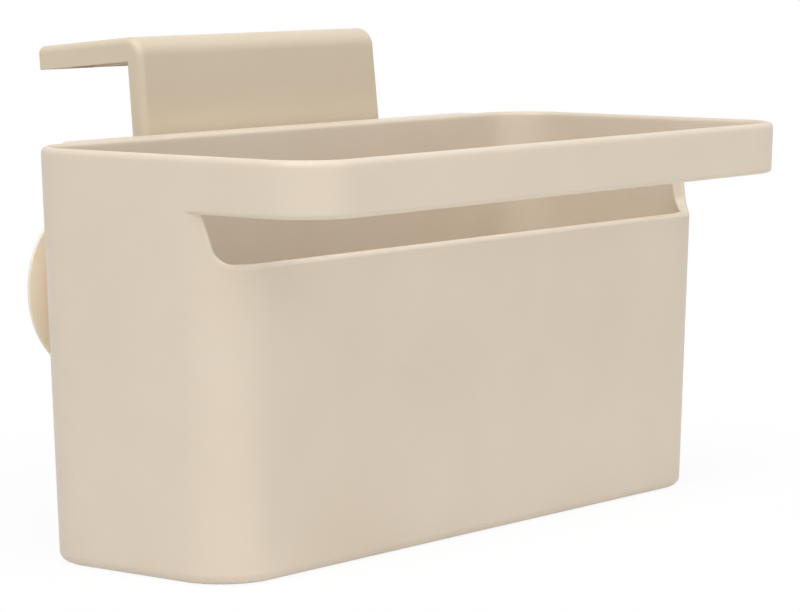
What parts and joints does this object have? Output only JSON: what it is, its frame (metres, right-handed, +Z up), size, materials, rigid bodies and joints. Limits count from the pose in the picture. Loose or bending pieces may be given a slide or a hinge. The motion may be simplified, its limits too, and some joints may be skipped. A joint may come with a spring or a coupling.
{
  "type": "kitchen sink caddy",
  "caption": "Open tapered plastic caddy with a band rail for a cloth, a bracket that hooks over a sink's edge, and suction cups behind.",
  "frame": {"origin": "middle of the caddy's flat base", "axes": "+X along the caddy's length to the right seen from the front, +Y to the back where the hook and the cups are, +Z up"},
  "size_m": [0.2314, 0.16, 0.1442],
  "materials": {
    "housing": "satin beige moulding",
    "cup": "soft translucent cream"
  },
  "bodies": {
    "caddy": {"caddy_body": "housing", "suction_cup_left": "cup", "suction_cup_right": "cup"},
    "hook": {"hook_bracket": "housing"}
  },
  "joints": [
    {"name": "hook_slide", "type": "slide", "parent": "caddy", "child": "hook", "axis": [0, 0.0941, 0.9956], "range_m": [0, 0.027]}
  ]
}
